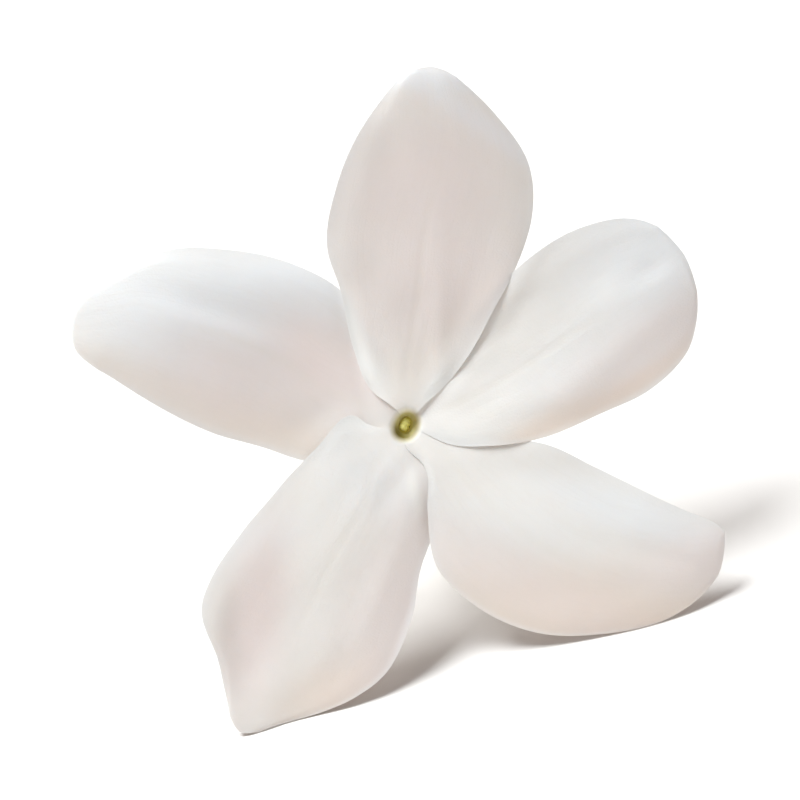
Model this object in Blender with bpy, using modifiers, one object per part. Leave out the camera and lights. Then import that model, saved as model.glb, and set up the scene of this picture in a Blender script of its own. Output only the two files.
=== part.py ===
"""A picked jasmine flower, lying on two of its five petals and on the cut end of its stalk.

The flower is modelled on its own axes, with the middle of the throat at the origin, the face
looking along +Z and the tube going down along -Z. An empty then lays the whole flower down, so
that the three lowest points of its outline rest on the ground at z = 0, with the face towards -Y.
Lengths in the tables are in millimetres and angles in degrees, counted anticlockwise from +X
as one looks into the flower.
"""

import math

import bmesh
import bpy
from mathutils import Matrix, Vector

MM = 0.001

# Petals
BLADE = 0.6             # thickness
ROWS_ALONG = 19         # faces from root to tip
ROWS_ACROSS = 10        # faces from edge to edge
THROAT_DIP = 0.55       # how far the petals sink as they turn into the tube
FULL_HALF_WIDTH = 5.0   # the half width at which an edge's curl is stated

# Each petal's outline is a list of (distance from the throat, left edge, right edge), root to
# tip. "bulge" is how far the middle of the tip stands out past the last of them. "lean" is how
# far the petal leans forward at 20 mm, and "reflex" how far its end bends back again.
# "lap" is the height of the left and the right edge near the root: a petal's raised edge lies
# over its neighbour's lowered one. "curl" is how far each edge rolls back further out.
PETALS = {
    "top": {
        "outline": [(1.0, 121, 49), (2.5, 120, 45), (5, 119.5, 49.5), (8, 116.5, 52.5),
                    (11, 113.5, 54.5), (14, 106, 58.5), (16.5, 99.5, 64.5), (18.3, 94.5, 73),
                    (19.4, 91.5, 78.5), (20.0, 89.5, 81.5)],
        "bulge": 0.4, "lean": 2.6, "reflex": 0.9,
        "lap": (0.45, 0.45), "curl": (0.5, 1.1), "wave": 0.10,
    },
    "left": {
        "outline": [(1.0, 193, 121), (2.5, 205, 104), (5, 205, 108), (8, 190, 114),
                    (11, 182.5, 124.5), (14, 176, 135), (16.5, 171.5, 143), (18, 169.5, 150.5),
                    (19.1, 167.5, 156), (19.6, 165, 158.8)],
        "bulge": 0.3, "lean": 1.9, "reflex": 0.5,
        "lap": (-0.5, -0.5), "curl": (1.2, 1.0), "wave": 0.08,
    },
    "lower_left": {
        "outline": [(1.0, 265, 193), (2.0, 293, 181), (3.1, 301, 171), (5, 293, 194),
                    (8, 277.5, 207), (11, 272.5, 213.5), (14, 266.5, 218.5), (15.8, 260, 223),
                    (17, 254.5, 231), (18.3, 248.5, 236), (19.4, 244.7, 239.2)],
        "bulge": 0.5, "lean": 1.5, "reflex": 0.3,
        "lap": (-0.45, 0.5), "curl": (1.0, 0.7), "wave": 0.14,
    },
    "lower_right": {
        "outline": [(1.0, 337, 265), (2.5, 352, 295), (5, 352, 285.5), (8, 352, 282.5),
                    (11, 347.5, 291), (14, 344.5, 302), (16.5, 343, 313.5), (18.4, 342.5, 322),
                    (19.3, 341.5, 327.5)],
        "bulge": 0.6, "lean": 1.9, "reflex": 0.5,
        "lap": (-0.45, 0.45), "curl": (0.5, 1.5), "wave": 0.08,
    },
    "right": {
        "outline": [(1.0, 409, 337), (2.5, 422, 340), (5, 420, 345), (8, 417, 354.5),
                    (11, 414, 362.5), (14, 410, 367.5), (16.5, 405, 373.5), (17.7, 401.5, 379),
                    (18.4, 398, 384)],
        "bulge": 0.35, "lean": 1.7, "reflex": 0.6,
        "lap": (-0.45, 0.45), "curl": (0.6, 1.3), "wave": 0.06,
    },
}

# Tube: (radius, height) down the outside and back up the bore
TUBE_OUTSIDE = [(2.6, -0.22), (2.0, -0.52), (1.66, -1.1), (1.6, -2.2), (1.65, -4.2),
                (1.5, -6.4), (1.2, -9.5), (1.1, -13.0), (1.05, -18.6)]
TUBE_BORE = [(0.5, -18.6), (0.5, -13.0), (0.6, -9.5), (0.9, -6.4), (1.05, -4.2),
             (1.0, -2.2), (0.86, -1.1), (0.9, -0.62), (1.25, -0.2), (2.2, -0.02)]
TUBE_SIDES = 24

# Calyx: (radius, height) down the outside and back up inside the cup
CUP_OUTSIDE = [(1.72, -16.1), (1.78, -17.4), (1.66, -18.9), (1.15, -20.1), (0.62, -20.9),
               (0.0, -20.9)]
CUP_INSIDE = [(0.0, -19.5), (0.7, -19.5), (1.15, -18.9), (1.24, -17.4), (1.22, -16.1)]
CUP_SIDES = 20
STALK_RADIUS = 0.5
STALK_END = (0.35, -0.5, -26.0)   # where the cut stalk ends
TEETH = 5
TOOTH_LENGTH = 5.6
TOOTH_ROOT = 0.42                 # radius at the cup
TOOTH_POINT = 0.16                # radius at the tip
TOOTH_SPREAD = 7                  # degrees out from the axis

# Pistil
STYLE_OUTLINE = [(0.0, -1.7), (0.24, -1.75), (0.25, -4.0), (0.25, -17.4), (0.36, -17.9),
                 (0.38, -18.6), (0.3, -19.15), (0.0, -19.25)]
STYLE_SIDES = 10
STIGMA_SIZE = (0.27, 0.32, 0.65)  # half sizes of each lobe
STIGMA_APART = 0.16               # from the axis to the middle of a lobe
STIGMA_HEIGHT = -1.15
STIGMA_TURN = -28                 # degrees from +Y, as the eye of the flower leans

# Stamens
ANTHER_SIZE = (0.24, 0.42, 1.5)   # half sizes: depth, width, length
ANTHER_OUT = 0.57                 # from the axis of the tube
ANTHER_HEIGHT = -3.9
STAMEN_TURN = (8, 188)            # degrees round the tube
FILAMENT_RADIUS = 0.14
FILAMENT_LENGTH = 2.4


def clear_scene():
    for obj in list(bpy.data.objects):
        bpy.data.objects.remove(obj, do_unlink=True)


def new_collection(name):
    made = bpy.data.collections.new(name)
    bpy.context.scene.collection.children.link(made)
    return made


def material(name, colour, roughness):
    made = bpy.data.materials.new(name)
    made.use_nodes = True
    shader = made.node_tree.nodes["Principled BSDF"]
    shader.inputs["Base Color"].default_value = (*colour, 1.0)
    shader.inputs["Roughness"].default_value = roughness
    shader.inputs["Metallic"].default_value = 0.0
    made.diffuse_color = (*colour, 1.0)
    return made


def object_from(bm, name, collection):
    mesh = bpy.data.meshes.new(name)
    bm.to_mesh(mesh)
    bm.free()
    made = bpy.data.objects.new(name, mesh)
    collection.objects.link(made)
    return made


def smooth_step(low, high, value):
    share = min(max((value - low) / (high - low), 0.0), 1.0)
    return share * share * (3.0 - 2.0 * share)


def along(values, s):
    """The value at s, from 0 to 1, on a smooth curve through evenly numbered values."""
    place = s * (len(values) - 1)
    i = min(int(place), len(values) - 2)
    f = place - i
    before = values[max(i - 1, 0)]
    here = values[i]
    there = values[i + 1]
    after = values[min(i + 2, len(values) - 1)]
    bend = 2 * before - 5 * here + 4 * there - after
    twist = 3 * (here - there) + after - before
    return here + 0.5 * f * (there - before + f * (bend + f * twist))


def petal_point(petal, s, t):
    """A point of a petal's middle surface: s runs from root to tip, t from the right edge at -1
    to the left edge at 1."""
    outline = petal["outline"]
    left = math.radians(along([row[1] for row in outline], s))
    right = math.radians(along([row[2] for row in outline], s))
    at_edges = along([row[0] for row in outline], s)
    reach = at_edges + petal["bulge"] * smooth_step(0.55, 1.0, s) * (1.0 - abs(t) ** 1.5)
    angle = right + (left - right) * (t + 1.0) / 2.0
    half_width = at_edges * math.sin(min((left - right) / 2.0, math.pi / 2.0))

    side = 0 if t > 0 else 1
    height = -THROAT_DIP * math.exp(-max(reach - 1.0, 0.0) / 0.6)
    height += petal["lean"] * (reach / 20.0) ** 1.2
    height -= petal["reflex"] * (max(reach - 14.0, 0.0) / 6.0) ** 2
    near_root = smooth_step(1.3, 3.5, reach) * (1.0 - smooth_step(8.0, 13.0, reach))
    height += petal["lap"][side] * abs(t) ** 1.5 * near_root
    outward = (t * half_width / FULL_HALF_WIDTH) ** 2 * smooth_step(5.0, 13.0, reach)
    height += (petal["wave"] * math.sin(1.1 * reach + 1.7 * t) - petal["curl"][side]) * outward
    return Vector((reach * math.cos(angle), reach * math.sin(angle), height)) * MM


def petal_object(name, petal, collection):
    """A flat grid bent to the petal's surface, then given its thickness."""
    bm = bmesh.new()
    bmesh.ops.create_grid(bm, x_segments=ROWS_ALONG, y_segments=ROWS_ACROSS, size=1.0)
    for vert in bm.verts:
        s = (vert.co.x + 1.0) / 2.0
        vert.co = petal_point(petal, s, math.sin(vert.co.y * math.pi / 2.0) * 0.35 + vert.co.y * 0.65)
    bmesh.ops.triangulate(bm, faces=bm.faces[:])
    bmesh.ops.recalc_face_normals(bm, faces=bm.faces[:])
    made = object_from(bm, name, collection)
    solid = made.modifiers.new("thickness", "SOLIDIFY")
    solid.thickness = BLADE * MM
    solid.offset = 0.0
    return made


def turned_object(name, profile, sides, collection):
    """A closed profile of (radius, height) turned round the Z axis."""
    bm = bmesh.new()
    verts = [bm.verts.new((radius * MM, 0.0, height * MM)) for radius, height in profile]
    on_axis = [i for i, point in enumerate(profile) if point[0] == 0.0]
    for i in range(len(verts)):
        if i not in on_axis or i - 1 not in on_axis:
            if i > 0 or profile[0][0] > 0.0:
                bm.edges.new((verts[i - 1], verts[i]))
    made = object_from(bm, name, collection)
    screw = made.modifiers.new("turn", "SCREW")
    screw.steps = sides
    screw.render_steps = sides
    screw.use_merge_vertices = True
    screw.merge_threshold = 0.000001
    return made


def cone_object(name, low, high, low_radius, high_radius, sides, collection):
    """A cone or a rod from one point to another, in millimetres."""
    start = Vector(low) * MM
    end = Vector(high) * MM
    bm = bmesh.new()
    bmesh.ops.create_cone(bm, cap_ends=True, segments=sides, radius1=low_radius * MM,
                          radius2=high_radius * MM, depth=(end - start).length)
    turn = (end - start).to_track_quat("Z", "Y").to_matrix()
    bmesh.ops.rotate(bm, verts=bm.verts[:], cent=(0, 0, 0), matrix=turn)
    bmesh.ops.translate(bm, verts=bm.verts[:], vec=(start + end) / 2.0)
    return object_from(bm, name, collection)


def ball_object(name, centre, half_sizes, turn, sides, collection):
    """An ellipsoid turned round the Z axis by so many degrees."""
    bm = bmesh.new()
    bmesh.ops.create_uvsphere(bm, u_segments=sides, v_segments=sides // 2 + 1, radius=1.0)
    for vert in bm.verts:
        vert.co = Vector((vert.co.x * half_sizes[0], vert.co.y * half_sizes[1],
                          vert.co.z * half_sizes[2])) * MM
    bmesh.ops.rotate(bm, verts=bm.verts[:], cent=(0, 0, 0),
                     matrix=Matrix.Rotation(math.radians(turn), 3, "Z"))
    bmesh.ops.translate(bm, verts=bm.verts[:], vec=Vector(centre) * MM)
    return object_from(bm, name, collection)


def apply_modifiers(obj):
    graph = bpy.context.evaluated_depsgraph_get()
    obj.data = bpy.data.meshes.new_from_object(obj.evaluated_get(graph))
    obj.modifiers.clear()


def fuse(first, others):
    """Join other objects into the first as one solid, and remove them."""
    for other in others:
        union = first.modifiers.new("join", "BOOLEAN")
        union.operation = "UNION"
        union.object = other
        union.solver = "EXACT"
        apply_modifiers(first)
    for other in others:
        bpy.data.objects.remove(other, do_unlink=True)
    return first


def finish(obj, look, parent):
    obj.data.materials.clear()
    obj.data.materials.append(look)
    obj.data.shade_smooth()
    obj.data.set_sharp_from_angle(angle=math.radians(50))
    obj.parent = parent


def make_corolla(collection):
    tube = turned_object("corolla", TUBE_OUTSIDE + TUBE_BORE, TUBE_SIDES, collection)
    apply_modifiers(tube)
    petals = [petal_object(name, petal, collection) for name, petal in PETALS.items()]
    for petal in petals:
        apply_modifiers(petal)
    return fuse(tube, petals)


def make_calyx(collection):
    cup = turned_object("calyx", CUP_OUTSIDE + CUP_INSIDE, CUP_SIDES, collection)
    apply_modifiers(cup)
    stalk = cone_object("stalk", (0, 0, -20.4), STALK_END, STALK_RADIUS * 1.05, STALK_RADIUS,
                        10, collection)
    pieces = [stalk]
    rim_radius, rim_height = CUP_OUTSIDE[0]
    foot = rim_radius - TOOTH_ROOT * 0.7
    for number in range(TEETH):
        around = math.radians(90 + number * 360 / TEETH)
        out = foot + TOOTH_LENGTH * math.tan(math.radians(TOOTH_SPREAD))
        low = (foot * math.cos(around), foot * math.sin(around), rim_height - 0.6)
        high = (out * math.cos(around), out * math.sin(around), rim_height + TOOTH_LENGTH)
        pieces.append(cone_object("tooth", low, high, TOOTH_ROOT, TOOTH_POINT, 6, collection))
    return fuse(cup, pieces)


def make_pistil(collection):
    style = turned_object("pistil", STYLE_OUTLINE, STYLE_SIDES, collection)
    apply_modifiers(style)
    lobes = []
    for side in (-1, 1):
        turn = math.radians(STIGMA_TURN)
        centre = (-side * STIGMA_APART * math.sin(turn), side * STIGMA_APART * math.cos(turn),
                  STIGMA_HEIGHT)
        lobes.append(ball_object("lobe", centre, STIGMA_SIZE, STIGMA_TURN, 10, collection))
    return fuse(style, lobes)


def make_stamen(number, turn, collection):
    around = math.radians(turn)
    centre = (ANTHER_OUT * math.cos(around), ANTHER_OUT * math.sin(around), ANTHER_HEIGHT)
    anther = ball_object(f"stamen_{number}", centre, ANTHER_SIZE, turn, 10, collection)
    top = (centre[0], centre[1], ANTHER_HEIGHT - 0.9)
    foot = (centre[0], centre[1], ANTHER_HEIGHT - FILAMENT_LENGTH)
    filament = cone_object("filament", foot, top, FILAMENT_RADIUS, FILAMENT_RADIUS, 8, collection)
    return fuse(anther, [filament])


def lay_down(empty, pieces):
    """Turn the flower until a face of the hull round it, which touches two petals and the cut
    stalk, lies on the ground, and move the middle of its footprint to the origin."""
    bm = bmesh.new()
    for piece in pieces:
        for vert in piece.data.vertices:
            bm.verts.new(vert.co)
    hull = bmesh.ops.convex_hull(bm, input=bm.verts[:])
    faces = [part for part in hull["geom"] if isinstance(part, bmesh.types.BMFace)]
    middle = sum((vert.co for vert in bm.verts), Vector()) / len(bm.verts)
    best = None
    for face in faces:
        face.normal_update()
        out = face.normal if face.normal.dot(face.verts[0].co - middle) > 0 else -face.normal
        corners = sorted((vert.co.copy() for vert in face.verts), key=lambda corner: corner.z)
        on_stalk = corners[0].z < 0.9 * STALK_END[2] * MM
        on_two_petals = corners[1].z > -4 * MM and (corners[1] - corners[2]).length > 10 * MM
        if on_stalk and on_two_petals and (best is None or out.y < best.y):
            best = out.copy()
    bm.free()
    down = best
    empty.rotation_mode = "ZYX"
    empty.rotation_euler = (math.acos(-down.z), 0.0, math.atan2(-down.x, -down.y))
    bpy.context.view_layer.update()
    turned = [empty.matrix_world @ vert.co for piece in pieces for vert in piece.data.vertices]
    low = [min(point[axis] for point in turned) for axis in range(3)]
    high = [max(point[axis] for point in turned) for axis in range(3)]
    empty.location = (-(low[0] + high[0]) / 2.0, -(low[1] + high[1]) / 2.0, -low[2])


def main():
    clear_scene()
    collection = new_collection("jasmine_flower")
    flower = bpy.data.objects.new("flower", None)
    flower.empty_display_size = 0.01
    collection.objects.link(flower)

    corolla = make_corolla(collection)
    calyx = make_calyx(collection)
    pistil = make_pistil(collection)
    stamens = [make_stamen(i + 1, turn, collection) for i, turn in enumerate(STAMEN_TURN)]

    finish(corolla, material("petal_white", (0.80, 0.76, 0.73), 0.5), flower)
    finish(calyx, material("calyx_green", (0.22, 0.33, 0.08), 0.55), flower)
    finish(pistil, material("stigma_green", (0.50, 0.47, 0.12), 0.5), flower)
    yellow = material("anther_yellow", (0.66, 0.50, 0.16), 0.7)
    for stamen in stamens:
        finish(stamen, yellow, flower)
    lay_down(flower, [corolla, calyx, pistil] + stamens)


main()
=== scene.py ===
"""The looks of a picked jasmine flower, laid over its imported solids."""
import math

import bpy
from mathutils import Matrix, Vector


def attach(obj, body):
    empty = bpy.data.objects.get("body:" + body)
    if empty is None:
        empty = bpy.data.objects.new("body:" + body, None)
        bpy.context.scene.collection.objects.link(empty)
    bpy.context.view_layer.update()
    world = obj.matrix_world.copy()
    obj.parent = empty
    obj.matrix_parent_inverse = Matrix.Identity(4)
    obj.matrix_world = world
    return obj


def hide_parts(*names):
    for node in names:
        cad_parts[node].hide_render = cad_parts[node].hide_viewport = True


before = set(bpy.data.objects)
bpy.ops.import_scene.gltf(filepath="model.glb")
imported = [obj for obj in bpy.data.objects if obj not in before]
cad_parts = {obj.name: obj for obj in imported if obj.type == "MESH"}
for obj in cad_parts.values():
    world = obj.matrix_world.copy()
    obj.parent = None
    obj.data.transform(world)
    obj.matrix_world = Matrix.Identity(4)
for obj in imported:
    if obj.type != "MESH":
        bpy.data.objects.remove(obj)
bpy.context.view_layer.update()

# The corolla: five white petals that are the lobes of one slender tube, grown in one piece. It is
# thin, waxy tissue with fine veins running from the throat to each tip. Its foot sits in the calyx.
MM = 0.001

# Every piece is worked in millimetres on the flower's own axes, the throat at 0 and the face along
# +Z, and is then laid down on the floor by this turn in radians, as its solid is.
THROAT = Vector((-0.6204, -7.5098, 12.8278)) * MM
LEANED_BACK = 1.09484
TURNED_ASIDE = -0.26258
LAID_DOWN = (Matrix.Translation(THROAT) @ Matrix.Rotation(LEANED_BACK, 4, "X")
             @ Matrix.Rotation(TURNED_ASIDE, 4, "Z") @ Matrix.Scale(MM, 4))

# An outline runs from root to tip: distance from the throat, angle of the left edge, of the right
# edge. "bulge" is how far the middle of the tip stands out past it, "lean" how far the petal
# rises at its end and "reflex" how far that bends back. "lap" raises the left and right edge near
# the root, "curl" rolls them back further out, and "ripple" is the height, closeness and start
# of fine waves. "tone" dims the whole petal. A fold presses the petal in or out. The mauve and
# peach patches are partly a real blush and partly painted shade, warmer on the petal's shaded
# parts. The cool patches are a painted highlight, a cooler and brighter white where the light
# falls. The pale patches are painted light that lifts shaded places near the root and under a
# neighbour's edge. Folds and patches are given as x, y, half length, half width, turn in degrees,
# and the rise or the strength.
PETALS = {
    "top": {
        "outline": [(1, 121, 49), (2.5, 134, 43), (5, 124.5, 46), (8, 116, 51.5),
                    (11, 113.5, 54.5), (14, 106, 58.5), (16.5, 99.5, 64.5), (18.3, 94.5, 73),
                    (19.4, 91.5, 78.5), (20, 89.5, 81.5)],
        "bulge": 0.4, "lean": 0.65, "reflex": -0.4, "lap": (-0.16, 0.1), "curl": (-0.71, 0.85),
        "ripple": (0.015, 7, 0.6), "tone": 1,
        "folds": [(-1.7, 8.4, 10, 4.2, 90, 0.9), (-0.1, 18, 5, 4.3, 90, 0.9),
                  (0.4, 5.9, 2, 1.6, 60, -0.25), (-2.6, 3.8, 2.5, 1.4, 100, -0.24),
                  (2, 4, 6, 0.65, 90, 0.11), (3.4, 6, 3.5, 1.2, 60, -0.21),
                  (0.7, 20.3, 6, 0.65, 5, -0.14), (-0.9, 15.7, 2, 1.3, 105, -0.19),
                  (6.5, 9.6, 3.5, 1.3, 70, 0.25), (-3.6, 9.3, 2, 1.4, 85, 0.25),
                  (-2.4, 4, 5, 0.85, 150, -0.12), (3.4, 4.7, 5, 1.7, 25, -0.22),
                  (-3.2, 5.2, 1.9, 0.95, 125, -0.07), (-1.9, 3.6, 2.5, 0.5, 100, 0.07),
                  (2.2, 1.9, 1.4, 0.5, 45, -0.09), (-1.6, 1.8, 0.9, 0.8, 115, -0.1),
                  (-2.5, 2.8, 1.6, 0.5, 120, -0.07)],
        "mauve_blush_and_shade": [(1, 13, 6, 5, 50, 0.85), (2, 7.5, 5.5, 3, 20, 0.7)],
        "peach_blush_and_shade": [(3.5, 5.5, 11, 2, 40, 0.25)],
        "cool_painted_light": [(2, 19.5, 3, 0.8, -5, 1), (4.5, 17, 4.5, 0.7, 145, 1)],
        "pale_painted_light": [(-3.1, 5.6, 2.4, 0.55, 105, 1), (-2, 3.2, 1.8, 0.6, 115, 0.7),
                 (1.8, 2, 1.5, 0.45, 45, 1)],
    },
    "left": {
        "outline": [(1, 193, 121), (2.5, 205, 104), (5, 205, 108), (8, 190, 114),
                    (11, 182.5, 124.5), (14, 176, 135), (16.5, 171.5, 143), (18, 169.5, 150.5),
                    (19.1, 167.5, 156), (19.6, 165, 158.8)],
        "bulge": 0.3, "lean": 2.52, "reflex": 1.05, "lap": (-0.29, 0), "curl": (1.07, 0.41),
        "ripple": (0.015, 5, 0.2), "tone": 1,
        "folds": [(-7.9, 8.1, 7.5, 2.6, 190, 0.46), (-6.3, 0.1, 3.5, 4.5, 170, -0.57),
                  (-10.5, 5.2, 3.5, 0.8, 160, 0.17), (-10.2, 6.4, 5.5, 0.9, 165, -0.18),
                  (-2.9, 4.2, 3.5, 0.5, 105, -0.09), (-4.9, -2.3, 1.9, 1.7, 215, -0.11),
                  (-2.6, 4.5, 1.9, 1.4, 110, -0.22), (-5.2, 0, 2, 1.3, 30, -0.21)],
        "mauve_blush_and_shade": [(-4.5, 3.5, 4, 2.5, -35, 1), (-9.5, 2.5, 5, 2.5, 160, 0.75)],
        "peach_blush_and_shade": [(-10, 0.5, 11, 1.5, 160, 0.6)],
        "cool_painted_light": [(-12, 6.5, 7, 3.5, 0, 1), (-8.5, 5.5, 11, 3.5, 35, 1)],
    },
    "lower_left": {
        "outline": [(1, 265, 193), (2, 293, 181), (3.1, 301, 171), (5, 293, 194), (8, 277.5, 207),
                    (11, 272.5, 213.5), (14, 266.5, 218.5), (15.8, 260, 223), (17, 254.5, 231),
                    (18.3, 248.5, 236), (19.4, 244.7, 239.2)],
        "bulge": 0.5, "lean": 0.72, "reflex": -0.33, "lap": (-0.04, -0.11), "curl": (-0.26, 0.03),
        "ripple": (0.02, 5.5, 1.4), "tone": 0.91,
        "folds": [(-5.6, -6.8, 10, 2.9, 40, 0.53), (-7.3, -17.9, 7, 1.2, 45, -0.19),
                  (-0.6, -3.6, 5, 0.8, 50, -0.14), (-0.6, -7.9, 6, 1, 70, 0.21),
                  (-9.5, -11.2, 2.5, 1.1, 90, -0.25), (-6.5, -10.7, 6, 0.95, 60, -0.05),
                  (-8.3, -12.5, 6, 1.4, 70, -0.25), (0.2, -9.1, 5.5, 0.5, 70, 0.08),
                  (-2.2, -9.7, 6, 1.7, 85, 0.25), (-3.7, -4.8, 6, 1.2, 50, -0.21),
                  (-4.3, -12.4, 3.5, 1.4, 80, 0.25), (-7.1, -6.2, 6, 1.7, 65, -0.25),
                  (0.9, -3.1, 6, 1.2, 130, 0.25), (1.5, -5.9, 2, 0.4, 100, -0.22)],
        "mauve_blush_and_shade": [(-8.5, -11, 5.5, 2, 80, 1), (1.5, -10.5, 8.5, 4.5, 65, 0.9)],
        "peach_blush_and_shade": [(-2.5, -15, 5, 2, 20, 1)],
        "cool_painted_light": [(-1.5, -3.5, 2, 3.5, 70, 0.45), (-8, -6.5, 3, 1.3, 20, 0.45)],
        "pale_painted_light": [(0.6, -3.8, 1.3, 0.35, 100, 0.8)],
    },
    "lower_right": {
        "outline": [(1, 337, 265), (2.5, 352, 295), (5, 352, 285.5), (8, 352, 282.5),
                    (11, 347.5, 291), (14, 344.5, 302), (16.5, 343, 313.5), (18.4, 342.5, 322),
                    (19.3, 341.5, 327.5)],
        "bulge": 0.6, "lean": 0.83, "reflex": 0.78, "lap": (0.07, 0.01), "curl": (0.08, 0.28),
        "ripple": (0.01, 4, 0), "tone": 0.98,
        "folds": [(8.6, -6.1, 10, 3.8, -30, 0.79), (15.1, -9.3, 10, 1.2, 5, -0.09),
                  (4.4, -5.4, 6, 1.4, -20, 0.13), (7.1, -1.2, 6, 1.4, 5, 0.24),
                  (17, -7.9, 5, 1.7, 40, 0.17), (-0.4, -2.3, 3, 1.7, -40, 0.25),
                  (14.5, -7.6, 3.5, 0.8, -15, -0.14), (4, -1.4, 5, 1.5, -30, -0.25),
                  (0.8, -1.8, 1, 0.45, -60, -0.08)],
        "mauve_blush_and_shade": [(19, -7.5, 7, 2, 10, 0.75), (6.5, -9, 11, 2, -25, 0.5)],
        "peach_blush_and_shade": [(10, -11, 11, 3, -5, 0.95)],
        "cool_painted_light": [(14, -5.5, 7, 1.3, -20, 0.7), (7, -6.5, 5.5, 2, -15, 0.3)],
    },
    "right": {
        "outline": [(1, 409, 337), (2.5, 422, 335), (5, 420, 345.5), (8, 417, 354.5),
                    (11, 414, 362.5), (14, 410, 367.5), (16.5, 405, 373.5), (17.7, 401.5, 379),
                    (18.4, 398, 384)],
        "bulge": 0.35, "lean": -0.91, "reflex": 1.3, "lap": (0.15, 0.14), "curl": (-0.23, 0.06),
        "ripple": (0.01, 6, 0.9), "tone": 0.96,
        "folds": [(10.7, 2.9, 10, 1.2, 40, 0.18), (6.6, -2, 5.5, 3.6, 30, 0.9),
                  (13.9, 8.7, 1.4, 0.65, 30, -0.12), (1.9, 4.5, 5.5, 0.7, 10, -0.12),
                  (13, 7.5, 4.5, 1.5, 35, 0.25), (6.7, 8.4, 3, 0.55, 60, 0.1),
                  (3.9, 0.2, 5, 1.6, 30, 0.25), (3.5, 1.6, 3, 0.9, -30, 0.17),
                  (1.4, -0.7, 0.9, 1, 80, 0.08), (6.1, 6.3, 0.9, 1.7, 120, -0.17),
                  (4.6, 1.1, 2, 0.75, 30, -0.1), (8.1, 0.2, 1.8, 1, 10, -0.21),
                  (2.6, -0.9, 1.8, 0.5, -25, -0.08)],
        "mauve_blush_and_shade": [(15, 5, 7.5, 2, 35, 0.65)],
        "peach_blush_and_shade": [(11.5, 1, 8.5, 0.7, 35, 1), (7, -1.5, 6, 1.3, 35, 1)],
        "cool_painted_light": [(16, 10.5, 7.5, 6, 45, 0.85), (10.5, 2.5, 4.5, 2.5, 15, 0.35)],
        "pale_painted_light": [(3.2, -0.9, 1.8, 0.4, -5, 0.9), (4.1, 4.1, 3.4, 0.5, 55, 1)],
    },
}
# Patch colours: mauve and peach are partly a real blush and partly painted shade, cool is a painted
# highlight, and pale is painted light over shaded places.
TINTS = {"cool_painted_light": (0.85, 0.872, 0.895, 1), "peach_blush_and_shade": (0.85, 0.722, 0.625, 1),
         "mauve_blush_and_shade": (0.85, 0.757, 0.735, 1), "pale_painted_light": (0.96, 0.935, 0.895, 1)}
TINT_FIRMNESS = 1.3

# Lengths are millimetres, and a pair is how far out along a petal a change starts and ends.
TONE_FALLS = (0.0, 3.0)
ROOT_REACH = 1.0
THROAT_DIP = 0.03
DIP_WIDTH = 0.5
DIP_POWER = 0.9
BULGE_FROM = 0.55
ROUND_POWER = 1.5
LEAN_REACH = 20.0
LEAN_POWER = 1.2
REFLEX_FROM = 14.0
REFLEX_LENGTH = 6.0
LAP_RISES = (1.2, 3.2)
LAP_FADES = (8.0, 13.0)
CURL_RISES = (5.0, 13.0)
CURL_POWER = 2.5
FULL_HALF_WIDTH = 5.0
RIPPLE_RISES = (2.5, 7.0)
RIPPLE_SKEW = 0.15
PETAL_ROWS = 76
PETAL_COLUMNS = 36
CROWDED_EDGE = 0.4
BLADE = 0.24
THICK_ROOT_LENGTH = 1.4
THIN_EDGE = 0.08
THIN_FROM = 0.72
EDGES_THIN = (0.2, 2.0)
THIN_TIP_ROWS = 6.0

# The tube below the petals, foot to mouth: inside radius, outside radius, height. It is narrowest
# just inside its mouth, which is oval and leans to one side. Where the radii would make the wall
# thicker than THICKEST_WALL, it keeps that thickness.
TUBE = [(0.62, 0.94, -18.55), (0.62, 0.94, -16.5), (0.64, 0.96, -13.0), (0.76, 1.08, -9.6),
        (1.03, 1.37, -6.4), (1.16, 1.5, -4.2), (1.04, 1.42, -3.1), (0.80, 1.3, -2.2),
        (0.38, 1.18, -1.55), (0.335, 1.02, -1.0), (0.41, 0.95, -0.6), (0.58, 0.96, -0.3),
        (0.70, 0.98, -0.12)]
TUBE_ROWS = 40
THICKEST_WALL = 0.6
MOUTH_SHIFT = Vector((0.11, -0.08))
MOUTH_FADE = 0.9
MOUTH_RISES = (-1.7, -0.4)
MOUTH_OVAL = 0.09
MOUTH_TURN = 68


def along(values, s):
    """The value at share s of the way along a smooth curve through the values."""
    place = s * (len(values) - 1)
    i = min(int(place), len(values) - 2)
    f = place - i
    before = values[max(i - 1, 0)]
    here = values[i]
    there = values[i + 1]
    after = values[min(i + 2, len(values) - 1)]
    bend = 2 * before - 5 * here + 4 * there - after
    twist = 3 * (here - there) + after - before
    return here + 0.5 * f * (there - before + f * (bend + f * twist))


def smooth_step(low, high, value):
    share = min(max((value - low) / (high - low), 0.0), 1.0)
    return share * share * (3.0 - 2.0 * share)


def soft_patch(x, y, patch, firm=1.0):
    """The strength of a long soft patch here: full in its middle, and flatter there if firm."""
    middle_x, middle_y, half_length, half_width, turn, strength = patch
    c = math.cos(math.radians(turn))
    s = math.sin(math.radians(turn))
    lengthwise = ((x - middle_x) * c + (y - middle_y) * s) / half_length
    sideways = ((y - middle_y) * c - (x - middle_x) * s) / half_width
    return strength * math.exp(-(lengthwise ** 2 + sideways ** 2) ** firm)


def at_mouth(radius, angle, near):
    """A point round the axis, moved to the oval mouth as near goes from 0 to 1."""
    radius += near * MOUTH_OVAL * math.cos(2.0 * (angle - math.radians(MOUTH_TURN)))
    return (radius * math.cos(angle) + near ** 2 * MOUTH_SHIFT.x,
            radius * math.sin(angle) + near ** 2 * MOUTH_SHIFT.y)


def tube_point(root_right, root_left, level, t):
    """A point in the middle of the tube's wall, and the wall's thickness there."""
    inside = along([row[0] for row in TUBE], level)
    outside = along([row[1] for row in TUBE], level)
    height = along([row[2] for row in TUBE], level)
    angle = math.radians(root_right + (root_left - root_right) * (t + 1.0) / 2.0)
    x, y = at_mouth((inside + outside) / 2.0, angle, smooth_step(*MOUTH_RISES, height))
    return Vector((x, y, height)), outside - inside


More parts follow.
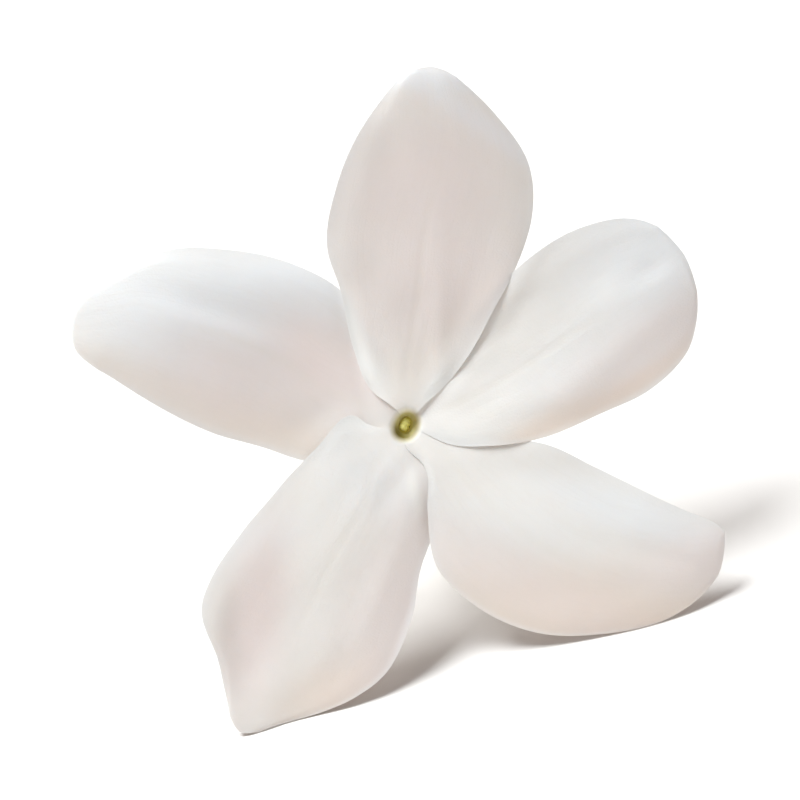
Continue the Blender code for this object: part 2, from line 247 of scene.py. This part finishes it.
def petal_point(petal, s, t):
    """A point of the petal, s of the way to its tip and t across, its reach and half width."""
    outline = petal["outline"]
    left = math.radians(along([row[1] for row in outline], s))
    right = math.radians(along([row[2] for row in outline], s))
    at_edges = along([row[0] for row in outline], s)
    past_edge = smooth_step(BULGE_FROM, 1.0, s) * (1.0 - abs(t) ** ROUND_POWER)
    reach = at_edges + petal["bulge"] * past_edge
    angle = right + (left - right) * (t + 1.0) / 2.0
    half_width = at_edges * math.sin(min((left - right) / 2.0, math.pi / 2.0))
    x, y = at_mouth(reach, angle, math.exp(-((reach - ROOT_REACH) / MOUTH_FADE) ** 2))

    side = 0 if t > 0 else 1
    height = -THROAT_DIP * math.exp(-(max(reach - ROOT_REACH, 0.0) / DIP_WIDTH) ** DIP_POWER)
    height += petal["lean"] * (reach / LEAN_REACH) ** LEAN_POWER
    height -= petal["reflex"] * (max(reach - REFLEX_FROM, 0.0) / REFLEX_LENGTH) ** 2
    near_root = smooth_step(*LAP_RISES, reach) * (1.0 - smooth_step(*LAP_FADES, reach))
    height += petal["lap"][side] * abs(t) ** ROUND_POWER * near_root
    outward = abs(t * half_width / FULL_HALF_WIDTH) ** CURL_POWER
    height -= petal["curl"][side] * outward * smooth_step(*CURL_RISES, reach)
    depth, waves, start = petal["ripple"]
    ripple = math.sin(t * waves + start + RIPPLE_SKEW * reach)
    height += depth * ripple * smooth_step(*RIPPLE_RISES, reach)
    height += sum(soft_patch(x, y, fold) for fold in petal["folds"])
    return Vector((x, y, height)), reach, half_width


def deselect_all():
    for obj in bpy.context.selected_objects:
        obj.select_set(False)


def pick(*pieces):
    deselect_all()
    for piece in pieces:
        piece.select_set(True)
    bpy.context.view_layer.objects.active = pieces[0]


def apply_all(piece):
    pick(piece)
    for modifier in list(piece.modifiers):
        bpy.ops.object.modifier_apply(modifier=modifier.name)


def note_places(piece):
    """Keep each point's place on the flower's axes, in millimetres, for the materials."""
    places = piece.data.attributes.new("on_flower", "FLOAT_VECTOR", "POINT")
    places.data.foreach_set("vector", [c for vert in piece.data.vertices for c in vert.co])


def lay_down(piece):
    piece.data.transform(LAID_DOWN)
    piece.data.update()


lobes = []
for number, (petal_name, petal) in enumerate(PETALS.items()):
    deselect_all()
    bpy.ops.mesh.primitive_grid_add(x_subdivisions=TUBE_ROWS + PETAL_ROWS,
                                    y_subdivisions=PETAL_COLUMNS, size=2)
    lobe = bpy.context.object
    lobe.name = petal_name
    blade = lobe.vertex_groups.new(name="blade")
    notes = {"from_throat": [], "across": [], "half_width": [], "from_axis": [],
             "mid_height": [], "tone": [], "petal_number": []}
    notes.update({tint: [] for tint in TINTS})
    for vert in lobe.data.vertices:
        row = (vert.co.x + 1.0) / 2.0 * (TUBE_ROWS + PETAL_ROWS)
        crowded = math.sin(vert.co.y * math.pi / 2.0)
        t = vert.co.y * (1.0 - CROWDED_EDGE) + crowded * CROWDED_EDGE
        shares = dict.fromkeys(TINTS, 0.0)
        if row < TUBE_ROWS - 0.5:
            root_left, root_right = petal["outline"][0][1:]
            vert.co, thickness = tube_point(root_right, root_left, row / TUBE_ROWS, t)
            from_throat = vert.co.z
            half_width = 1.0
        else:
            vert.co, reach, half_width = petal_point(petal, (row - TUBE_ROWS) / PETAL_ROWS, t)
            from_throat = reach - ROOT_REACH
            at_root = 1.0 - smooth_step(0.0, THICK_ROOT_LENGTH, from_throat)
            thickness = BLADE + (TUBE[-1][1] - TUBE[-1][0] - BLADE) * at_root
            to_edge = smooth_step(THIN_FROM, 1.0, abs(t)) * smooth_step(*EDGES_THIN, from_throat)
            to_tip = 1.0 - smooth_step(0.0, THIN_TIP_ROWS, TUBE_ROWS + PETAL_ROWS - row)
            thickness += (THIN_EDGE - thickness) * max(to_edge, to_tip)
            for tint in TINTS:
                for patch in petal.get(tint, []):
                    share = soft_patch(vert.co.x, vert.co.y, patch, TINT_FIRMNESS)
                    shares[tint] += (1.0 - shares[tint]) * share
        blade.add([vert.index], min(thickness / THICKEST_WALL, 1.0), "REPLACE")
        notes["from_throat"].append(from_throat)
        notes["across"].append(t)
        notes["half_width"].append(half_width)
        notes["from_axis"].append(vert.co.xy.length)
        notes["mid_height"].append(vert.co.z)
        dimmed = (1.0 - petal["tone"]) * smooth_step(*TONE_FALLS, from_throat)
        notes["tone"].append(1.0 - dimmed)
        for tint, share in shares.items():
            notes[tint].append(share)
        notes["petal_number"].append(number)
    for note, values in notes.items():
        lobe.data.attributes.new(note, "FLOAT", "POINT").data.foreach_set("value", values)
    lobes.append(lobe)

pick(*lobes)
bpy.ops.object.join()
corolla = bpy.context.object
corolla.name = "white_corolla"
bpy.ops.object.mode_set(mode="EDIT")
bpy.ops.mesh.select_all(action="SELECT")
bpy.ops.mesh.remove_doubles(threshold=0.002)
bpy.ops.mesh.normals_make_consistent(inside=False)
bpy.ops.object.mode_set(mode="OBJECT")
wall = corolla.modifiers.new("wall", "SOLIDIFY")
wall.thickness = THICKEST_WALL
wall.offset = 0.0
wall.vertex_group = "blade"
apply_all(corolla)
bpy.ops.object.shade_smooth_by_angle(angle=math.radians(60))
note_places(corolla)
lay_down(corolla)


class Value:
    """A shader socket that can be used in an expression."""

    def __init__(self, finish, socket):
        self.finish = finish
        self.socket = socket

    def math(self, operation, *others):
        inputs = {i: value for i, value in enumerate((self,) + others)}
        return self.finish.node("ShaderNodeMath", {"operation": operation}, inputs)

    def __add__(self, other):
        return self.math("ADD", other)

    __radd__ = __add__

    def __sub__(self, other):
        return self.math("SUBTRACT", other)

    def __rsub__(self, other):
        return self * -1.0 + other

    def __mul__(self, other):
        return self.math("MULTIPLY", other)

    __rmul__ = __mul__

    def __pow__(self, other):
        return self.math("POWER", other)

    def __abs__(self):
        return self.math("ABSOLUTE")

    def wave(self):
        return self.math("SINE")

    def between(self, low, high):
        """0 below low, 1 above high and smooth in between."""
        return self.finish.node("ShaderNodeMapRange", {"interpolation_type": "SMOOTHSTEP"},
                                {"Value": self, "From Min": low, "From Max": high})


class Finish:
    """A material on one Principled shader."""

    def __init__(self, name, colour=None, **constants):
        self.material = bpy.data.materials.new(name)
        self.material.use_nodes = True
        self.tree = self.material.node_tree
        self.shader = self.tree.nodes["Principled BSDF"]
        if colour:
            self.shader.inputs["Base Color"].default_value = colour
        for socket, value in constants.items():
            self.shader.inputs[socket.replace("_", " ")].default_value = value

    def node(self, kind, settings, inputs, output=0):
        """Add a node of this kind, with its settings and inputs, and give one of its outputs."""
        made = self.tree.nodes.new(kind)
        for key, value in settings.items():
            setattr(made, key, value)
        for key, value in inputs.items():
            if isinstance(value, Value):
                self.tree.links.new(value.socket, made.inputs[key])
            else:
                made.inputs[key].default_value = value
        return Value(self, made.outputs[output])

    def note(self, name, output="Fac"):
        """What the piece's points keep under this name."""
        return self.node("ShaderNodeAttribute", {"attribute_name": name}, {}, output)

    def axis(self, place, letter):
        return self.node("ShaderNodeSeparateXYZ", {}, {"Vector": place}, letter)

    def noise(self, size, detail=2.0):
        """Cloudy variation with patches of about this size in millimetres."""
        return self.node("ShaderNodeTexNoise", {},
                         {"Vector": self.note("on_flower", "Vector"), "Scale": 1.0 / size,
                          "Detail": detail}, "Fac")

    def mix(self, share, first, second):
        """A colour that goes from the first to the second as the share goes from 0 to 1."""
        return self.node("ShaderNodeMix", {"data_type": "RGBA"},
                         {"Factor": share, 6: first, 7: second}, 2)

    def feed(self, socket, value):
        self.tree.links.new(value.socket, self.shader.inputs[socket])

    def relief(self, height, depth):
        """Bump of this depth in millimetres where the height goes from 0 to 1."""
        self.feed("Normal", self.node("ShaderNodeBump", {},
                                      {"Height": height, "Distance": depth * MM}, "Normal"))

    def put_on(self, piece):
        piece.data.materials.clear()
        piece.data.materials.append(self.material)


BLACK = (0, 0, 0, 1)
BRIGHT_WHITE = (0.857, 0.83, 0.797, 1)
DULL_WHITE = (0.843, 0.815, 0.78, 1)
STREAK = (0.76, 0.70, 0.65, 1)
VEIN = (0.70, 0.62, 0.57, 1)
MIDRIB = (0.78, 0.73, 0.64, 1)
# The margin white is partly the thin edge's own paleness and partly painted light where the edges
# catch it.
PALE_MARGIN_AND_EDGE_LIGHT = (0.87, 0.87, 0.86, 1)
# The rim's cream is its own colour; the brown is painted shade for its side where the light strikes
# it most.
CREAM_RIM = (0.82, 0.78, 0.64, 1)
RIM_DARKENED_WHERE_LIT = (0.58, 0.52, 0.34, 1)
OLIVE = (0.60, 0.54, 0.25, 1)
# The dark olive is painted shade for the lower left of the mouth.
OLIVE_PAINTED_SHADE = (0.24, 0.20, 0.05, 1)
DEEP_OLIVE = (0.34, 0.29, 0.07, 1)
GREENISH_WHITE = (0.76, 0.80, 0.50, 1)
THROUGH_LIGHT = (0.12, 0.10, 0.02, 1)
STREAK_SHARE = 0.1
VEIN_SHARE = 0.035
MIDRIB_SHARE = 0.1
MARGIN_SHARE = 0.3
CLOUD_SIZE = 3.0
PORE_SIZE = 0.12
PETAL_RELIEF = 0.04
VEIN_SPREAD = 0.6
VEINS_ACROSS = 2.4
VEINS_ALONG = 0.14
VEIN_LINES = 22.0
PETALS_DIFFER = 7.3

# A pair is where a line or a colour fades in or out: millimetres out along a petal or, below 0,
# down the tube.
VEINS_BEGIN = (1.0, 4.0)
MIDRIB_BEGINS = (0.2, 2.0)
MIDRIB_ENDS = (9.0, 16.0)
MARGIN_BEGINS = (2.0, 5.0)
RIM_ENDS = (-0.12, 0.1)
OLIVE_ENDS = (-0.25, -0.05)
DEEP_OLIVE_ENDS = (-1.05, -0.45)
GREEN_ENDS = (-14.0, -2.0)
GLOW_BEGINS = (-15.0, -5.0)
GLOW_ENDS = (-0.75, -0.35)

petal_skin = Finish("petal_skin", Roughness=0.52, Subsurface_Weight=0.2, Subsurface_Scale=0.0008,
                    Subsurface_Radius=(1.0, 0.75, 0.6), Specular_IOR_Level=0.35,
                    Emission_Strength=1.0)
out_mm = petal_skin.note("from_throat")
across_t = petal_skin.note("across")
half_mm = petal_skin.note("half_width")
sideways = across_t * half_mm ** VEIN_SPREAD
grown = petal_skin.node("ShaderNodeCombineXYZ", {}, {
    0: sideways * VEINS_ACROSS, 1: out_mm * VEINS_ALONG,
    2: petal_skin.note("petal_number") * PETALS_DIFFER})
streaks = petal_skin.node("ShaderNodeTexNoise", {},
                          {"Vector": grown, "Scale": 1.0, "Detail": 4.0, "Roughness": 0.6}, "Fac")
vein_run = petal_skin.node("ShaderNodeTexNoise", {},
                           {"Vector": grown, "Scale": 0.8, "Detail": 1.0, "Roughness": 0.4}, "Fac")
on_blade = out_mm.between(*VEINS_BEGIN) * (1.0 - abs(across_t).between(0.8, 1.0))
vein = (1.0 - abs((vein_run * VEIN_LINES).wave()).between(0.0, 0.45)) * on_blade
midrib = (1.0 - abs(across_t * half_mm).between(0.05, 0.4)) * out_mm.between(*MIDRIB_BEGINS)
midrib = midrib * (1.0 - out_mm.between(*MIDRIB_ENDS))
clouds = petal_skin.noise(CLOUD_SIZE, 3.0)
white = petal_skin.mix(clouds.between(0.3, 0.7), BRIGHT_WHITE, DULL_WHITE)
# Mauve and peach patches: partly a real blush, partly painted shade. Cool and pale patches: painted
# light.
for tint, colour in TINTS.items():
    white = petal_skin.mix(petal_skin.note(tint) * (0.85 + clouds * 0.3), white, colour)
white = petal_skin.mix(petal_skin.note("tone"), BLACK, white)
streaked = streaks.between(0.45, 0.75) * on_blade
white = petal_skin.mix(streaked * STREAK_SHARE, white, STREAK)
white = petal_skin.mix(vein * VEIN_SHARE, white, VEIN)
white = petal_skin.mix(midrib * MIDRIB_SHARE, white, MIDRIB)
# Paler margins: partly the thin edge's own colour, partly painted light where the edges catch the
# light.
margin_and_edge_light = abs(across_t).between(0.9, 1.0) * out_mm.between(*MARGIN_BEGINS)
white = petal_skin.mix(margin_and_edge_light * MARGIN_SHARE, white, PALE_MARGIN_AND_EDGE_LIGHT)

# Inside its mouth the tube is olive, and outside it turns greenish towards its foot. Painted shade
# darkens the olive at the lower left, and the yellow rim is painted darker on its lower right,
# where the light strikes it most, and lighter on its upper left, which lies in shade. The outside
# is where the skin lies beyond or below the middle of the wall.
place = petal_skin.note("on_flower", "Vector")
across_mouth = petal_skin.axis(place, "X")
up_mouth = petal_skin.axis(place, "Y")
off_axis = (across_mouth ** 2.0 + up_mouth ** 2.0) ** 0.5
below = petal_skin.note("mid_height") - petal_skin.axis(place, "Z")
outside = (off_axis - petal_skin.note("from_axis") + below).between(-0.05, 0.05)
# Painted shade and light on the rim: brown towards the lower right, where the light strikes it
# most, cream towards the upper left, in shade.
lit_side_painted_darker = (across_mouth * 0.6 - up_mouth * 0.8).between(-0.7, 0.9)
rim = petal_skin.mix(lit_side_painted_darker, CREAM_RIM, RIM_DARKENED_WHERE_LIT)
yellowed = petal_skin.mix(1.0 - out_mm.between(*RIM_ENDS), white, rim)
# Painted shade: the olive darkens towards the lower left of the mouth, the side in shade.
shaded_side_painted_darker = (across_mouth * -0.6 - up_mouth * 0.8).between(0.1, 0.7)
olive = petal_skin.mix(shaded_side_painted_darker, OLIVE, OLIVE_PAINTED_SHADE)
yellowed = petal_skin.mix(1.0 - out_mm.between(*OLIVE_ENDS), yellowed, olive)
yellowed = petal_skin.mix(1.0 - out_mm.between(*DEEP_OLIVE_ENDS), yellowed, DEEP_OLIVE)
greened = petal_skin.mix(1.0 - out_mm.between(*GREEN_ENDS), white, GREENISH_WHITE)
white = petal_skin.mix(outside, yellowed, greened)
petal_skin.feed("Base Color", white)

# Daylight also comes through the thin wall of the tube and makes its inside glow a little.
glow = (1.0 - outside) * (1.0 - out_mm.between(*GLOW_ENDS)) * out_mm.between(*GLOW_BEGINS)
petal_skin.feed("Emission Color", petal_skin.mix(glow, BLACK, THROUGH_LIGHT))
petal_skin.relief(vein * -0.06 + petal_skin.noise(PORE_SIZE) * 0.3 + midrib * -0.3 + clouds
                  + streaks * on_blade * 0.2, PETAL_RELIEF)
petal_skin.put_on(corolla)
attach(corolla, "root")
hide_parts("corolla")

# The two stamens: each is a long pollen case of two lobes on a short thread that grows from the
# inside of the tube, soft and pale yellow. They stand just below the mouth, either side of the
# style.
ANTHER_HALF = (0.24, 0.42, 1.5)
ANTHER_OUT = 0.57
ANTHER_HEIGHT = -3.9
SEAM_WIDTH = 0.24
SEAM_DEPTH = 0.5
SEAM_NOTCH = 0.06
END_TAPER = 0.25
THREAD_FOOT = -6.3
THREAD_OUT = 0.1
THREAD_RADIUS = 0.12
THREAD_STEPS = 5
THREAD_STEP = (-0.02, 0, 0.32)
STAMEN_ANGLES = {"stamen_1": 8, "stamen_2": 188}
BRIGHT_POLLEN = (0.78, 0.66, 0.20, 1)
DULL_POLLEN = (0.62, 0.50, 0.10, 1)
POLLEN_SIZE = 0.09
POLLEN_RELIEF = 0.03

deselect_all()
bpy.ops.mesh.primitive_uv_sphere_add(segments=28, ring_count=20, radius=1.0)
anther = bpy.context.object
for vert in anther.data.vertices:
    seam = math.exp(-(vert.co.y / SEAM_WIDTH) ** 2)
    vert.co.x *= 1.0 - SEAM_DEPTH * seam
    vert.co.z *= 1.0 - SEAM_NOTCH * seam
    vert.co.x *= 1.0 - END_TAPER * abs(vert.co.z) ** 3
    vert.co = [part * half for part, half in zip(vert.co, ANTHER_HALF)]
bpy.ops.mesh.primitive_circle_add(vertices=12, radius=THREAD_RADIUS, fill_type="NGON",
                                  location=(THREAD_OUT, 0, THREAD_FOOT - ANTHER_HEIGHT))
thread = bpy.context.object
bpy.ops.object.mode_set(mode="EDIT")
bpy.ops.mesh.select_all(action="SELECT")
for step in range(THREAD_STEPS):
    bpy.ops.mesh.extrude_region_move(TRANSFORM_OT_translate={"value": THREAD_STEP})
bpy.ops.object.mode_set(mode="OBJECT")
pick(anther, thread)
bpy.ops.object.join()
stamen = bpy.context.object
bpy.ops.object.mode_set(mode="EDIT")
bpy.ops.mesh.select_all(action="SELECT")
bpy.ops.mesh.normals_make_consistent(inside=False)
bpy.ops.object.mode_set(mode="OBJECT")
bpy.ops.object.shade_smooth_by_angle(angle=math.radians(50))

pollen_case = Finish("pollen_case", Roughness=0.75, Subsurface_Weight=0.25,
                     Subsurface_Scale=0.0005, Subsurface_Radius=(1.0, 0.8, 0.3))
grain = pollen_case.noise(POLLEN_SIZE)
yellow = pollen_case.mix(grain.between(0.35, 0.65), BRIGHT_POLLEN, DULL_POLLEN)
pollen_case.feed("Base Color", yellow)
pollen_case.relief(grain, POLLEN_RELIEF)

stamens = [stamen]
pick(stamen)
bpy.ops.object.duplicate(linked=False)
stamens.append(bpy.context.object)
for piece, (name, angle) in zip(stamens, STAMEN_ANGLES.items()):
    piece.name = "anther_of_" + name
    turn = Matrix.Rotation(math.radians(angle), 4, "Z")
    piece.data.transform(turn @ Matrix.Translation((ANTHER_OUT, 0, ANTHER_HEIGHT)))
    piece.matrix_world = Matrix.Identity(4)
    note_places(piece)
    lay_down(piece)
    pollen_case.put_on(piece)
    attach(piece, "root")
    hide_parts(name)

# The pistil: a thin pale green style that rises through the tube from the small ovary in the calyx
# to a stigma of two rounded lobes just inside the mouth, soft, grainy and yellow-green.

# The style's outline is radius and height, from its foot up.
STYLE = [(0.10, -19.15), (0.28, -18.95), (0.36, -18.5), (0.33, -17.95), (0.22, -17.4),
         (0.19, -15.0), (0.18, -11.0), (0.17, -7.0), (0.17, -4.0), (0.19, -2.4), (0.22, -1.6)]
LOBE_HALF = (0.31, 0.31, 0.68)
LOBE_OUT = 0.13
LOBE_HEIGHT = -0.78
STIGMA_TURN = -25
STIGMA_SHIFT = (0.045, -0.03, 0)
FUSED_GRAIN = 0.04
HEAD_BEGINS = (-2.2, -1.4)
STYLE_GREEN = (0.55, 0.60, 0.28, 1)
# The stigma's yellow is partly its own colour and partly painted light, brighter to make up for the
# shade inside the mouth.
STIGMA_YELLOW_AND_PAINTED_LIGHT = (1.0, 0.95, 0.30, 1)
STIGMA_SHADE = (0.66, 0.57, 0.10, 1)
BEAD_SIZE = 0.07
BEAD_SHARE = 0.35
BEAD_RELIEF = 0.05

deselect_all()
bpy.ops.mesh.primitive_circle_add(vertices=16, radius=STYLE[0][0], fill_type="NGON",
                                  location=(0, 0, STYLE[0][1]))
style = bpy.context.object
bpy.ops.object.transform_apply(location=True, rotation=False, scale=False)
bpy.ops.object.mode_set(mode="EDIT")
bpy.ops.mesh.select_all(action="SELECT")
for (radius, height), (next_radius, next_height) in zip(STYLE, STYLE[1:]):
    bpy.ops.mesh.extrude_region_move(
        TRANSFORM_OT_translate={"value": (0, 0, next_height - height)})
    bpy.ops.transform.resize(value=(next_radius / radius, next_radius / radius, 1))
bpy.ops.object.mode_set(mode="OBJECT")
stigma_lobes = []
for side in (1, -1):
    bpy.ops.mesh.primitive_uv_sphere_add(segments=24, ring_count=16, radius=1.0,
                                         location=(side * LOBE_OUT, 0, LOBE_HEIGHT))
    stigma_lobe = bpy.context.object
    stigma_lobe.scale = LOBE_HALF
    bpy.ops.object.transform_apply(location=True, rotation=False, scale=True)
    stigma_lobes.append(stigma_lobe)
pick(style, *stigma_lobes)
bpy.ops.object.join()
pistil = bpy.context.object
pistil.name = "style_and_stigma"
fused = pistil.modifiers.new("fused", "REMESH")
fused.mode = "VOXEL"
fused.voxel_size = FUSED_GRAIN
even = pistil.modifiers.new("even", "SMOOTH")
even.factor = 0.5
even.iterations = 9
apply_all(pistil)
bpy.ops.object.shade_smooth()
pistil.data.transform(Matrix.Translation(STIGMA_SHIFT)
                      @ Matrix.Rotation(math.radians(STIGMA_TURN + 90), 4, "Z"))
note_places(pistil)
lay_down(pistil)

stigma_skin = Finish("stigma_skin", Roughness=0.6, Subsurface_Weight=0.25,
                     Subsurface_Scale=0.0005, Subsurface_Radius=(0.9, 1.0, 0.3))
height_mm = stigma_skin.axis(stigma_skin.note("on_flower", "Vector"), "Z")
beads = stigma_skin.noise(BEAD_SIZE)
head = height_mm.between(*HEAD_BEGINS)
# The head's yellow is partly painted light that lifts the shade inside the mouth.
green = stigma_skin.mix(head, STYLE_GREEN, STIGMA_YELLOW_AND_PAINTED_LIGHT)
green = stigma_skin.mix(beads.between(0.5, 0.75) * head * BEAD_SHARE, green, STIGMA_SHADE)
stigma_skin.feed("Base Color", green)
stigma_skin.relief(beads * head, BEAD_RELIEF)
stigma_skin.put_on(pistil)
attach(pistil, "root")
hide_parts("pistil")

# The calyx and stalk: a small leathery green cup with five slender teeth that holds the foot of
# the tube, grown in one piece with the thin stalk below it. The stalk ends in a fresh pale cut.

# The cup's outline is radius and height. Steps give the share of the stalk's length and its
# radius, and a tooth's rise and its width as a share of its root.
CUP = [(1.50, -16.1), (1.58, -16.6), (1.62, -17.4), (1.58, -18.2), (1.47, -18.9), (1.25, -19.6),
       (0.95, -20.2), (0.68, -20.65), (0.50, -21.1)]
STALK_END = Vector((0.35, -0.5, -26.0))
STALK_TOP = Vector((0, 0, -21.1))
STALK_STEPS = [(0.12, 0.43), (0.3, 0.41), (0.5, 0.42), (0.7, 0.43), (0.86, 0.45), (0.97, 0.47),
               (1.0, 0.44)]
CUT_RECESS = 0.06
CUT_NARROWS = 0.8
TOOTH_STEPS = [(0.25, 0.95), (0.45, 0.62), (0.8, 0.46), (1.4, 0.37), (2.2, 0.31), (3.2, 0.25),
               (4.2, 0.18), (5.0, 0.1), (5.55, 0.025)]
TEETH = 5
TOOTH_SPREAD = 7
FIRST_TOOTH = 90
CALYX_WALL = 0.26
RIM_POINTS = 60
DARK_GREEN = (0.16, 0.27, 0.055, 1)
FRESH_GREEN = (0.23, 0.36, 0.09, 1)
RIB_GREEN = (0.30, 0.42, 0.14, 1)
BROWN_TIP = (0.28, 0.17, 0.07, 1)
PALE_CUT = (0.62, 0.66, 0.38, 1)
TEETH_BROWN = (-13.5, -10.4)
CUT_ENDS = (-25.95, -25.8)
RIBS = 10.0
RIB_WANDER = 1.5
RIB_SHARE = 0.45
BROWN_SHARE = 0.55
PATCH_SIZE = 0.7
CALYX_GRAIN = 0.15
CALYX_RELIEF = 0.05

deselect_all()
bpy.ops.mesh.primitive_circle_add(vertices=RIM_POINTS, radius=CUP[0][0],
                                  location=(0, 0, CUP[0][1]))
calyx = bpy.context.object
calyx.name = "green_calyx_and_stalk"
bpy.ops.object.transform_apply(location=True, rotation=False, scale=False)
bpy.ops.object.mode_set(mode="EDIT")
bpy.ops.mesh.select_all(action="SELECT")
for (radius, height), (next_radius, next_height) in zip(CUP, CUP[1:]):
    bpy.ops.mesh.extrude_region_move(
        TRANSFORM_OT_translate={"value": (0, 0, next_height - height)})
    bpy.ops.transform.resize(value=(next_radius / radius, next_radius / radius, 1),
                             center_override=(0, 0, next_height))
centre = STALK_TOP
radius = CUP[-1][0]
for share, next_radius in STALK_STEPS:
    next_centre = STALK_TOP.lerp(STALK_END, share)
    bpy.ops.mesh.extrude_region_move(TRANSFORM_OT_translate={"value": next_centre - centre})
    bpy.ops.transform.resize(value=(next_radius / radius, next_radius / radius, 1),
                             center_override=next_centre)
    centre = next_centre
    radius = next_radius
bpy.ops.mesh.extrude_region_move(TRANSFORM_OT_translate={"value": (0, 0, CUT_RECESS)})
bpy.ops.transform.resize(value=(CUT_NARROWS, CUT_NARROWS, 1), center_override=centre)
bpy.ops.mesh.edge_face_add()
bpy.ops.object.mode_set(mode="OBJECT")

tooth_tip = Vector((math.sin(math.radians(TOOTH_SPREAD)), 0,
                    math.cos(math.radians(TOOTH_SPREAD))))
for number in range(TEETH):
    middle = math.radians(FIRST_TOOTH + 360 / TEETH * number)
    bpy.ops.object.mode_set(mode="EDIT")
    bpy.ops.mesh.select_all(action="DESELECT")
    bpy.ops.mesh.select_mode(type="EDGE")
    bpy.ops.object.mode_set(mode="OBJECT")
    for edge in calyx.data.edges:
        ends = [calyx.data.vertices[i].co for i in edge.vertices]
        if min(end.z for end in ends) > CUP[0][1] - 0.01:
            place = (ends[0] + ends[1]) / 2.0
            off = (math.atan2(place.y, place.x) - middle + math.pi) % (2 * math.pi) - math.pi
            edge.select = abs(off) < math.pi / TEETH
    bpy.ops.object.mode_set(mode="EDIT")
    out = Matrix.Rotation(middle, 3, "Z")
    width = 1.0
    rise = 0.0
    for next_rise, next_width in TOOTH_STEPS:
        bpy.ops.mesh.extrude_region_move(
            TRANSFORM_OT_translate={"value": out @ tooth_tip * (next_rise - rise)})
        foot = Vector((CUP[0][0], 0, CUP[0][1]))
        bpy.ops.transform.resize(value=(next_width / width, next_width / width, 1),
                                 center_override=out @ (foot + tooth_tip * next_rise))
        rise = next_rise
        width = next_width
    bpy.ops.object.mode_set(mode="OBJECT")
bpy.ops.object.mode_set(mode="EDIT")
bpy.ops.mesh.select_all(action="SELECT")
bpy.ops.mesh.remove_doubles(threshold=0.001)
bpy.ops.mesh.normals_make_consistent(inside=False)
bpy.ops.object.mode_set(mode="OBJECT")
wall = calyx.modifiers.new("wall", "SOLIDIFY")
wall.thickness = CALYX_WALL
wall.offset = -1.0
rounded = calyx.modifiers.new("rounded", "SUBSURF")
rounded.levels = 1
rounded.render_levels = 1
apply_all(calyx)
bpy.ops.object.shade_smooth_by_angle(angle=math.radians(50))
note_places(calyx)
lay_down(calyx)

calyx_skin = Finish("calyx_skin", Roughness=0.55, Subsurface_Weight=0.08,
                    Subsurface_Scale=0.0005, Subsurface_Radius=(0.5, 1.0, 0.2))
place = calyx_skin.note("on_flower", "Vector")
height_mm = calyx_skin.axis(place, "Z")
turn = calyx_skin.axis(place, "Y").math("ARCTAN2", calyx_skin.axis(place, "X"))
ribs = (turn * RIBS + calyx_skin.noise(1.2) * RIB_WANDER).wave()
patches = calyx_skin.noise(PATCH_SIZE, 3.0)
green = calyx_skin.mix(patches.between(0.3, 0.7), DARK_GREEN, FRESH_GREEN)
green = calyx_skin.mix(ribs.between(0.2, 1.0) * RIB_SHARE, green, RIB_GREEN)
green = calyx_skin.mix(height_mm.between(*TEETH_BROWN) * BROWN_SHARE, green, BROWN_TIP)
green = calyx_skin.mix(1.0 - height_mm.between(*CUT_ENDS), green, PALE_CUT)
calyx_skin.feed("Base Color", green)
calyx_skin.relief(ribs * 0.6 + calyx_skin.noise(CALYX_GRAIN) * 0.8, CALYX_RELIEF)
calyx_skin.put_on(calyx)
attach(calyx, "root")
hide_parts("calyx")

# The floor: a plain pale studio surface, painted matt, that the flower lies on. It is one flat
# sheet, far wider than the view.
FLOOR_WIDTH = 3.0
FLOOR_COLOUR = (0.95, 0.915, 0.89, 1)

deselect_all()
bpy.ops.mesh.primitive_plane_add(size=FLOOR_WIDTH)
floor = bpy.context.object
floor.name = "floor"
Finish("studio_floor", FLOOR_COLOUR, Roughness=0.8).put_on(floor)

# The light: one soft box above and a little to the left, aimed at the flower, and a faint warm
# fill all round.
SOFT_BOX_PLACE = (-0.3, 0.05, 0.95)
SOFT_BOX_WIDTH = 0.6
SOFT_BOX_WATTS = 12.5
SOFT_BOX_COLOUR = (0.94, 0.99, 1.01)
FILL_COLOUR = (1.0, 0.92, 0.88, 1)
FILL_STRENGTH = 0.28

world = bpy.data.worlds.new("studio")
bpy.context.scene.world = world
world.use_nodes = True
fill = world.node_tree.nodes["Background"]
fill.inputs["Color"].default_value = FILL_COLOUR
fill.inputs["Strength"].default_value = FILL_STRENGTH
deselect_all()
bpy.ops.object.light_add(type="AREA", location=SOFT_BOX_PLACE)
soft_box = bpy.context.object
soft_box.data.shape = "DISK"
soft_box.data.size = SOFT_BOX_WIDTH
soft_box.data.energy = SOFT_BOX_WATTS
soft_box.data.color = SOFT_BOX_COLOUR
soft_box.rotation_euler = (-soft_box.location).to_track_quat("-Z", "Y").to_euler()

# The camera: straight into the face of the flower, turned so that the top petal stands up.
# The view is as wide as the photograph, in which the flower has this many pixels a millimetre.
PHOTO_WIDTH = 800
PIXELS_A_MM = 17.5
VIEW_WIDTH = PHOTO_WIDTH / PIXELS_A_MM
CAMERA_DISTANCE = 450.0
VIEW_MIDDLE = (-0.23, 1.37)
SENSOR_WIDTH = 36.0

bpy.ops.object.camera_add()
camera = bpy.context.object
camera.data.sensor_width = SENSOR_WIDTH
camera.data.lens = SENSOR_WIDTH * CAMERA_DISTANCE / VIEW_WIDTH
camera.data.clip_start = 0.01
seen_from = LAID_DOWN @ Matrix.Translation((*VIEW_MIDDLE, CAMERA_DISTANCE))
camera.matrix_world = Matrix.LocRotScale(seen_from.to_translation(),
                                         seen_from.to_quaternion(), None)
bpy.context.scene.camera = camera
bpy.context.scene.view_settings.view_transform = "Standard"
